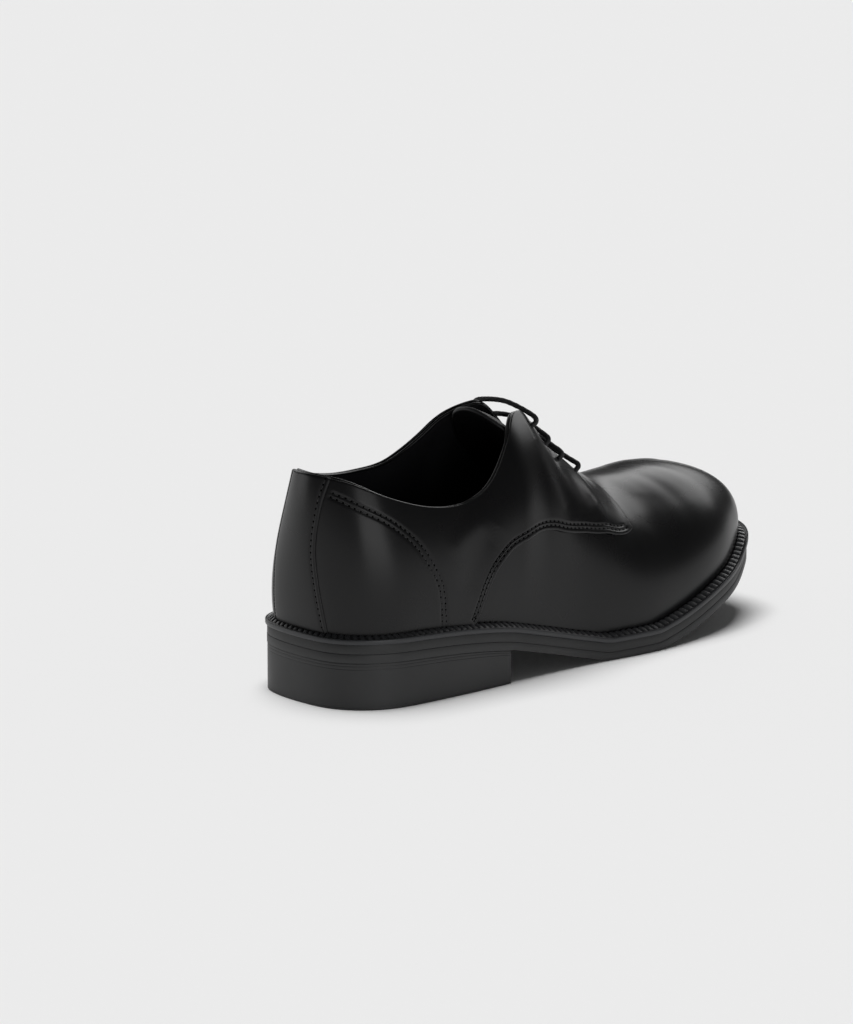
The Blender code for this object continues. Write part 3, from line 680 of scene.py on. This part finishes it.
def quarterGrid(side):
    table = numbered(quarterRows)
    along = np.linspace(0, len(table) - 1, overlay["alongCount"])
    lowSection, lowUp, topSection = [tableCurve(table, k, along) for k in (1, 2, 3)]
    levels = np.linspace(0, 1, overlay["levelCount"])[None, :]
    section = lowSection[:, None] * (1 - levels) + topSection[:, None] * levels
    up = np.maximum(lowUp[:, None] * (1 - levels) + levels * overlay["high"], overlay["low"])
    first, second = section[0], table[1, 1]
    oneSection = np.linalg.norm(surface(1.0, 0.5) - surface(0.0, 0.5))
    strapEdge = strapPlace(up, -side) * -side + shoe["strapGap"] / oneSection
    squeezed = strapEdge + (section - first) * (second - strapEdge) / (second - first)
    section = np.where(section < second, squeezed, section)
    ring = section if side < 0 else ringCount - section
    points = surface(ring, up)
    quads = gridQuads(np.arange(points.shape[0] * points.shape[1]).reshape(points.shape[:2]))
    if side > 0:
        quads = quads[:, ::-1]
    return points, quads


def inwardLine(points, normals, distance):  # a line moved to its left on the surface
    return points + distance * np.cross(normals, directions(points))


def seamRelief(points, line):
    return seam["depth"] * np.exp(-(nearLine(points, line)[0] / seam["width"]) ** 2)


stitchLines = []
for side, node in ((-1, "quarter_lateral"), (1, "quarter_medial")):
    grid, quads = quarterGrid(side)
    flat = grid.reshape(-1, 3)
    normals = quadNormals(flat, quads)
    book = (flat, normals)
    gridNormals = normals.reshape(grid.shape)
    rows = []
    # two rows along the lower front edge, from the welt to the front corner
    start = int(overlay["seamStart"] / (len(quarterRows) - 1) * (grid.shape[0] - 1))
    less, lessPerMetre = seam["cornerTrim"]
    for distance in seam["quarterRows"]:
        edge = inwardLine(grid[start:, 0], gridNormals[start:, 0], -side * distance)
        rows.append(evenLine(edge[:-int(less + distance * lessPerMetre)], seam["step"]))
    for table in (counterRows, counterUpperRows):
        rows.append(evenLine(surfaceLine(table, side), seam["step"]))
    outer = shoe["overlayGap"] + shoe["quarterThick"]
    relief = foldRelief(flat)
    for line in rows:
        relief -= seamRelief(flat, line)
        lineNormals = surfaceNormal(line[::seam["normalEvery"]], book)
        lineNormals = np.repeat(lineNormals, seam["normalEvery"], axis=0)[:len(line)]
        stitchLines.append((line, lineNormals, outer - seam["depth"] * seam["rest"]))
    points, faces, slots = thickSheet(flat, quads, outer, shoe["overlayGap"], relief)
    piece = addPiece(node.replace("quarter", "quarterLeather"), points, faces, [leather, lining], slots)
    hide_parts(node)
print("quarters made")


def upperGrid():  # the whole ring, finer in front, with its sides joined past the throat
    upCount, split = upperShape["upCount"], upperShape["split"]
    stations = np.concatenate([
        np.linspace(0, split, upperShape["backStations"], endpoint=False),
        np.linspace(split, sectionCount, upperShape["frontStations"]),
    ])
    ring = np.concatenate([stations, ringCount - stations[-2:0:-1]])
    levels = np.linspace(0, 1, upCount)
    points = surface(ring[:, None] + 0 * levels, levels + 0 * ring[:, None])
    count = len(ring)
    index = np.arange(count * upCount).reshape(count, upCount)
    closed = len(stations)
    for i in range(closed, count):
        mirror = 2 * (closed - 1) - i
        if stations[mirror] >= upperShape["closedFrom"] - 1e-6:
            index[i, -1] = index[mirror, -1]
    index = np.concatenate([index, index[:1]])
    return points.reshape(-1, 3), gridQuads(index)


flat, quads = upperGrid()
used, renumber = np.unique(quads, return_inverse=True)
flat = flat[used]
points, faces, slots = thickSheet(flat, renumber.reshape(-1, 4), 0.0, -shoe["upperWall"], foldRelief(flat))
vamp = addPiece("vampAndLining", points, faces, [leather, lining], slots)
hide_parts("upper")
print("vamp made")

# strap up the heel's back seam
levels = np.linspace(overlay["low"], overlay["high"], overlay["strapLevels"])
across = np.linspace(-1, 1, overlay["strapAcross"])
ring = strapPlace(levels[None, :], across[:, None])
grid = surface(ring, levels + 0 * ring)
flat = grid.reshape(-1, 3)
quads = gridQuads(np.arange(ring.size).reshape(ring.shape))
normals = quadNormals(flat, quads)
gridNormals = normals.reshape(grid.shape)
relief = np.zeros(len(flat))
outer = shoe["overlayGap"] + shoe["strapThick"]
for column, toward in ((0, 1), (-1, -1)):
    line = inwardLine(grid[column], gridNormals[column], -toward * seam["strapRow"])
    line = evenLine(line, seam["step"])
    relief -= seamRelief(flat, line)
    lineNormals = surfaceNormal(line, (flat, normals))
    stitchLines.append((line, lineNormals, outer - seam["depth"] * seam["rest"]))
points, faces, slots = thickSheet(flat, quads, outer, shoe["overlayGap"], relief)
strap = addPiece("heelStrap", points, faces, [strapLeather, lining], slots)
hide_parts("back_strap")
print("strap made")


# roundEnd shapes the tongue's upper end, arch is how fast its sides fall away
tongueShape = {"acrossCount": 61, "alongCount": 121, "roundEnd": (1.25, 0.35), "arch": 19.0}


def tongueGrid():
    table = numbered(tongueRows)
    table[:, 2] *= np.array([shoe["toeBoxHeight"]] * 2 + [shoe["instepHeight"]] * (len(tongueRows) - 2))
    across = np.linspace(-1, 1, tongueShape["acrossCount"])
    corner, bow = tongueShape["roundEnd"]
    ends = len(tongueRows) - 1 - corner * across**4 - bow * across**2
    along = np.linspace(0, 1, tongueShape["alongCount"])[:, None] * ends[None, :]
    x = tableCurve(table, 1, along) * shoe["soleLength"]
    z = footBed(x) + tableCurve(table, 2, along)
    y = across * tableCurve(table, 3, along) * shoe["ballWidth"]
    return np.stack([x, middle(x) + y, z - tongueShape["arch"] * y**2], -1)


grid = tongueGrid()
flat = grid.reshape(-1, 3)
quads = gridQuads(np.arange(len(flat)).reshape(grid.shape[:2]))
points, faces, slots = thickSheet(flat, quads, 0.0, -shoe["tongueThick"])
tongue = addPiece("tongueFine", points, faces, [tongueLeather, tongueLeather], slots)
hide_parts("tongue")
print("tongue made")

points, faces = stitchMeshes(stitchLines)
stitches = addPiece("stitches", points, faces, [thread])
# near-black cones over the leather: painted shade at the needle hole of each stitch
points, faces = holeShadeMeshes(stitchLines)
holeShadePiece = addPiece("paintedHoleShades", points, faces, [paintedHoleShade])
print("stitches made")


# edge is the share up the facing at which the cord leaves it, lay is the length of one turn of a strand
cord = {
    "edge": 0.985, "pieces": 12, "sides": 16, "step": 0.00035, "strands": 8, "lay": 0.0042,
    "swell": 0.00009, "normalStep": 0.02,
}


def normalAt(ring, up):  # point on the upper and the direction out of it, taken a little below the point
    step = cord["normalStep"]
    below = np.asarray(up) - step
    along = surface(ring + step, below) - surface(ring - step, below)
    across = surface(ring, below + step / 2) - surface(ring, below - step / 2)
    normal = np.cross(along, across)
    normal /= np.linalg.norm(normal, axis=1, keepdims=True)
    return surface(ring, up), normal * np.sign(normal[:, 2:])


def eyeletPoints(side):  # each eyelet and the edge of the facing above it, with their normals
    section = np.array(eyeletSections)
    ring = section if side < 0 else ringCount - section
    whole = np.ones(len(section))
    tenth = np.linalg.norm(surface(ring, 0.9 * whole) - surface(ring, whole), axis=1)
    here, normal = normalAt(ring, 1 - 0.1 * shoe["eyeletBack"] / tenth)
    edge, edgeNormal = normalAt(ring, cord["edge"] * whole)
    return here, normal, edge, edgeNormal


def smoothPath(points, pieces):  # smooth curve through every point
    points = np.array(points)
    ends = np.concatenate([[2 * points[0] - points[1]], points, [2 * points[-1] - points[-2]]])
    out = []
    for i in range(len(points) - 1):
        a, b, c, d = ends[i:i + 4]
        for u in np.arange(pieces) / pieces:
            out.append(
                0.5 * (2 * b + (c - a) * u + (2 * a - 5 * b + 4 * c - d) * u**2
                       + (3 * b - a - 3 * c + d) * u**3)
            )
    out.append(points[-1])
    return np.array(out)


def lacePath():
    places = {side: np.stack(eyeletPoints(side)) for side in (-1, 1)}
    cover = shoe["overlayGap"] + shoe["quarterThick"]
    above = cover + shoe["laceRadius"] + shoe["laceGap"]
    below = -(shoe["upperWall"] + shoe["laceRadius"] + shoe["laceGap"])
    path, side = [], -1
    for row in reversed(range(len(eyeletSections))):
        bar = []
        for hole, normal, edge, edgeNormal in (places[side][:, row], places[-side][:, row]):
            toward = edge - hole
            toward /= np.linalg.norm(toward)
            half = [hole + below * normal, hole + 0.5 * cover * normal]
            half += [hole + (above + shoe["laceGap"] / 2) * normal + shoe["laceGap"] * toward]
            half += [edge + above * edgeNormal]
            bar.append(half)
        arch = (bar[0][-1] + bar[1][-1]) / 2 + np.array([0, 0, shoe["laceRise"]])
        path += bar[0] + [arch] + bar[1][::-1]
        side = -side
    return path


def cordMesh(path):  # round braided cord: two sets of strands that cross
    path = evenLine(path, cord["step"])
    ahead = directions(path)
    across = np.cross(ahead[0], (1.0, 0.0, 0.0))
    turn = np.arange(cord["sides"]) * 2 * math.pi / cord["sides"]
    rings = []
    for k, (here, direction) in enumerate(zip(path, ahead)):
        across = across - direction * (across @ direction)
        across /= np.linalg.norm(across)
        other = np.cross(direction, across)
        twist = 2 * math.pi * k * cord["step"] / cord["lay"]
        strand = np.maximum(
            np.cos(cord["strands"] / 2 * turn + twist), np.cos(cord["strands"] / 2 * turn - twist)
        )
        radius = shoe["laceRadius"] - cord["swell"] + cord["swell"] * strand
        rings.append(here + radius[:, None] * circle(cord["sides"], across, other))
    points = np.concatenate(rings)
    index = np.arange(len(points)).reshape(len(path), cord["sides"])
    index = np.concatenate([index, index[:, :1]], axis=1)
    faces = [list(face) for face in gridQuads(index)]
    faces += [list(index[0, :-1]), list(index[-1, :-1])[::-1]]
    return points, [face[::-1] for face in faces]


points, faces = cordMesh(smoothPath(lacePath(), cord["pieces"]))
lace = addPiece("laceCord", points, faces, [laceCord])
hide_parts("lace")
print("lace made")


# places on the plan's edge, stations along a layer, angle from which an edge is sharp, bevel's share of a
# rounded edge, and half widths of a cut line as shares of the side's height
layerShape = {
    "edgePlaces": 900, "heelStations": 140, "soleStations": 260, "insoleStations": 160, "sharp": 40,
    "bevel": 0.3, "lineWidths": (0.025, 0.012, 0.004),
}


def soleLoop(inset, xEnd, stations):  # plan of a sole layer as one closed loop, outer side first
    turn = np.linspace(0, sectionCount, layerShape["edgePlaces"])
    outer, inner = soleEdge(turn, inset), soleEdge(ringCount - turn, inset)
    first = max(outer[:, 0].min(), inner[:, 0].min())
    last = min(outer[:, 0].max(), inner[:, 0].max())
    if xEnd is None:
        share = (1 - np.cos(math.pi * np.arange(1, stations) / stations)) / 2
        x = first + (last - first) * share
    else:
        share = 1 - np.cos(math.pi / 2 * np.arange(1, stations + 1) / stations)
        x = first + (xEnd - first) * share

    def sideAt(line):
        low, high = np.argmin(line[:, 0]), np.argmax(line[:, 0])
        run = line[low:high + 1]
        return np.interp(x, run[:, 0], run[:, 1])

    back = (first, outer[np.argmin(outer[:, 0]), 1])
    loop = [back] + list(zip(x, sideAt(outer)))
    if xEnd is None:
        loop += [(last, outer[np.argmax(outer[:, 0]), 1])]
    loop += list(zip(x[::-1], sideAt(inner)[::-1]))
    return np.array(loop), len(x)


def layer(inset, bottom, top, xEnd, stations, profile):
    # profile rows: share of the height, extra inset; the side wall follows them from the bottom up
    loops = []
    for share, extra in profile:
        end = None if xEnd is None else xEnd - extra
        loop, count = soleLoop(inset + extra, end, stations)
        z = bottom(loop[:, 0]) * (1 - share) + top(loop[:, 0]) * share
        loops.append(np.c_[loop, z])
    size = len(loops[0])
    faces = []
    for k in range(len(loops) - 1):
        for i in range(size):
            j = (i + 1) % size
            faces.append((k * size + i, k * size + j, (k + 1) * size + j, (k + 1) * size + i))
    pairs = [(0, 0)] + [(1 + i, size - 1 - i) for i in range(count)]
    if xEnd is None:
        pairs += [(1 + count, 1 + count)]
    lift = (len(loops) - 1) * size
    for (a, b), (c, d) in zip(pairs[:-1], pairs[1:]):
        faces.append((a, b, d, c))
        faces.append((a + lift, c + lift, d + lift, b + lift))
    return np.concatenate(loops), faces


def roundedSide(height, radius, lines=(), cut=0.0):  # side wall with rounded edges and thin cut lines
    share, bevel = radius / height, layerShape["bevel"]
    wide, near, inside = layerShape["lineWidths"]
    rows = [(0.0, radius), (share * bevel, radius * bevel), (share, 0.0)]
    for at in lines:
        rows += [(at - wide, 0.0), (at - near, 0.0), (at - inside, cut)]
        rows += [(at + inside, cut), (at + near, 0.0), (at + wide, 0.0)]
    rows += [(1 - share, 0.0), (1 - share * bevel, radius * bevel), (1.0, radius)]
    return rows


def sharpen(piece, angle=layerShape["sharp"]):
    piece.data.set_sharp_from_angle(angle=math.radians(angle))
    return piece


layerGap = shoe["layerGap"]
heel = {"edge": 0.0004, "lines": (0.06, 0.87, 0.94), "cut": 0.00009}  # lines are shares of its height
points, faces = layer(
    shoe["heelInset"], lambda x: 0 * x, lambda x: soleUnderside(x) - layerGap, shoe["heelLength"],
    layerShape["heelStations"],
    roundedSide(shoe["heelHeight"], heel["edge"], heel["lines"], heel["cut"]),
)
heelPiece = sharpen(addPiece("heelBlock", points, faces, [heelRubber]))
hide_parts("heel")

# lap is how far the midsole closes the fine gaps over and under it
sole = {"outsoleInset": 0.0008, "outsoleEdge": 0.00012, "midsoleInset": 0.0009, "midsoleEdge": 0.0001,
        "lap": 0.0002}
points, faces = layer(
    sole["outsoleInset"], lambda x: soleUnderside(x) - (x < shoe["heelLength"]) * layerGap,
    lambda x: soleUnderside(x) + shoe["outsoleThick"], None, layerShape["soleStations"],
    roundedSide(shoe["outsoleThick"], sole["outsoleEdge"]),
)
outsolePiece = sharpen(addPiece("outsoleFine", points, faces, [soleRubber]))
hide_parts("outsole")


def midsoleBottom(x):
    return soleUnderside(x) + shoe["outsoleThick"] + layerGap


points, faces = layer(
    sole["midsoleInset"], lambda x: midsoleBottom(x) - sole["lap"],
    lambda x: midsoleBottom(x) + shoe["midsoleThick"] + sole["lap"], None, layerShape["soleStations"],
    roundedSide(shoe["midsoleThick"] + 2 * sole["lap"], sole["midsoleEdge"]),
)
midsolePiece = sharpen(addPiece("midsoleFine", points, faces, [midsoleRubberPaintedShade]))
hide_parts("midsole")
print("sole layers made")

# ribs: pitch, points to each, depth between them, share left open, slant about their middle's inset;
# places on the edge, how steep a rib's flanks are, angle from which an edge is sharp
welt = {
    "pitch": 0.0036, "samples": 16, "height": 0.0008, "gap": 0.24, "slant": 0.35, "ribMiddle": 0.0035,
    "edge": 0.0005, "places": 6001, "steep": 1.6, "sharp": 50,
}


def weltMesh():
    turn = np.linspace(0, ringCount, welt["places"])
    edge = soleEdge(turn, 0.0)
    run = runAlong(edge)
    ribs = int(round(run[-1] / welt["pitch"]))
    count = ribs * welt["samples"]
    ring = np.interp(np.arange(count) / count * run[-1], run, turn)
    thick, corner = shoe["weltThick"], welt["edge"]
    # rows: inset, height over the welt's top, share of the depth cut between the ribs
    rows = [
        (shoe["weltInner"], -thick, 0), (shoe["weltInner"], 0.0, 0), (0.0058, 0.0, 0),
        (0.0054, 0.0004, 0.2), (0.0052, 0.0013, 0.8), (0.0049, 0.0017, 1.0), (0.0044, 0.0016, 1.0),
        (0.0037, 0.0012, 1.0), (0.0029, 0.0007, 1.0), (0.0023, 0.0003, 0.9), (0.0019, 0.0, 0.4),
        (0.0016, -0.0004, 0.0), (0.0014, -0.0004, 0), (0.0011, -0.0001, 0),
        (corner, 0.0, 0), (corner * 0.3, -corner * 0.3, 0), (0.0, -corner, 0),
        (0.0, -thick + corner, 0), (corner * 0.3, -thick + corner * 0.3, 0), (corner, -thick, 0),
    ]
    loops = []
    for inset, height, share in rows:
        plan = soleEdge(ring, inset)
        lean = welt["slant"] * (inset - welt["ribMiddle"]) / welt["ribMiddle"]
        place = (np.arange(count) / welt["samples"] + lean) % 1
        inside = np.clip(np.minimum(place, 1 - place) / 0.5 - welt["gap"], 0, 1) / (1 - welt["gap"])
        wave = np.sqrt(1 - (1 - np.clip(inside * welt["steep"], 0, 1)) ** 2)
        z = weltTop(plan[:, 0]) + height + share * welt["height"] * (wave - 1)
        loops.append(np.c_[plan, z])
    points = np.concatenate(loops)
    index = np.arange(len(points)).reshape(len(rows), count)
    index = np.concatenate([index, index[:1]], axis=0)
    index = np.concatenate([index, index[:, :1]], axis=1)
    return points, gridQuads(index)


points, faces = weltMesh()
weltPiece = sharpen(addPiece("weltRibbed", points, faces, [weltRubber]), welt["sharp"])
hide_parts("welt")
print("welt made")


insole = {"edge": 0.0006}


def insoleBottom(x):
    return weltTop(x) - shoe["weltThick"] + layerGap


points, faces = layer(
    shoe["weltInner"] + shoe["footGap"], insoleBottom, lambda x: insoleBottom(x) + shoe["insoleThick"],
    None, layerShape["insoleStations"], roundedSide(shoe["insoleThick"], insole["edge"]),
)
insolePiece = sharpen(addPiece("insoleFine", points, faces, [insoleLeather]))
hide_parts("insole")
print("insole made")

# floor and lights; a softbox has azimuth, elevation, distance, width, height and brightness
studio = {
    "floor": 0.83,
    "floorSize": 40.0,
    "floorRoughness": 0.9,
    "world": 0.085,
    "floorSun": 2.75,
    "floorFill": 0.15,
    "sunAngle": 36.0,
    "sunFrom": (-0.05, 0.1, 1.0),
    "sunDistance": 3.0,
    "softboxes": {
        "sideBox": (-15.0, 5.0, 2.2, 1.7, 0.8, 2.4),
        "backdropBox": (104.0, 33.0, 2.4, 2.0, 0.95, 2.9),
        "heelBox": (-142.0, 3.0, 2.2, 1.3, 0.9, 1.15),
        "innerBox": (168.0, 25.0, 2.4, 1.6, 1.2, 1.3),
        "overheadBox": (60.0, 84.0, 2.4, 0.9, 0.9, 0.6),
    },
}
bpy.ops.mesh.primitive_plane_add(size=studio["floorSize"], location=(0, 0, 0))
floor = bpy.context.object
floor.name = "floor"
floorLook = bpy.data.materials.new("floorLook")
floorLook.use_nodes = True
floorShader = floorLook.node_tree.nodes["Principled BSDF"]
floorShader.inputs["Base Color"].default_value = (*[studio["floor"]] * 3, 1.0)
floorShader.inputs["Roughness"].default_value = studio["floorRoughness"]
floorShader.inputs["Specular IOR Level"].default_value = 0.0
floor.data.materials.append(floorLook)
floorGroup = bpy.data.collections.new("floorGroup")
floorGroup.objects.link(floor)

world = bpy.data.worlds.new("studio")
world.use_nodes = True
scene.world = world
world.node_tree.nodes["Background"].inputs["Color"].default_value = (1.0, 1.0, 1.0, 1.0)
world.node_tree.nodes["Background"].inputs["Strength"].default_value = studio["world"]


def addLight(name, data, direction, distance, receivers):
    light = bpy.data.objects.new(name, data)
    light.rotation_mode = "QUATERNION"
    light.rotation_quaternion = direction.to_track_quat("Z", "Y")
    light.location = direction * distance
    scene.collection.objects.link(light)
    light.light_linking.receiver_collection = receivers


for name, (around, above, distance, width, height, brightness) in studio["softboxes"].items():
    data = bpy.data.lights.new(name, "AREA")
    data.shape = "RECTANGLE"
    data.size = width
    data.size_y = height
    data.energy = brightness * math.pi * width * height
    around, above = math.radians(around), math.radians(above)
    direction = Vector((
        math.sin(around) * math.cos(above), -math.cos(around) * math.cos(above), math.sin(above)
    ))
    addLight(name, data, direction, distance, shoeGroup)
for name in ("floorSun", "floorFill"):
    data = bpy.data.lights.new(name, "SUN")
    data.energy = studio[name]
    data.angle = math.radians(studio["sunAngle"])
    data.use_shadow = name == "floorSun"
    addLight(name, data, Vector(studio["sunFrom"]).normalized(), studio["sunDistance"], floorGroup)
print("studio made")
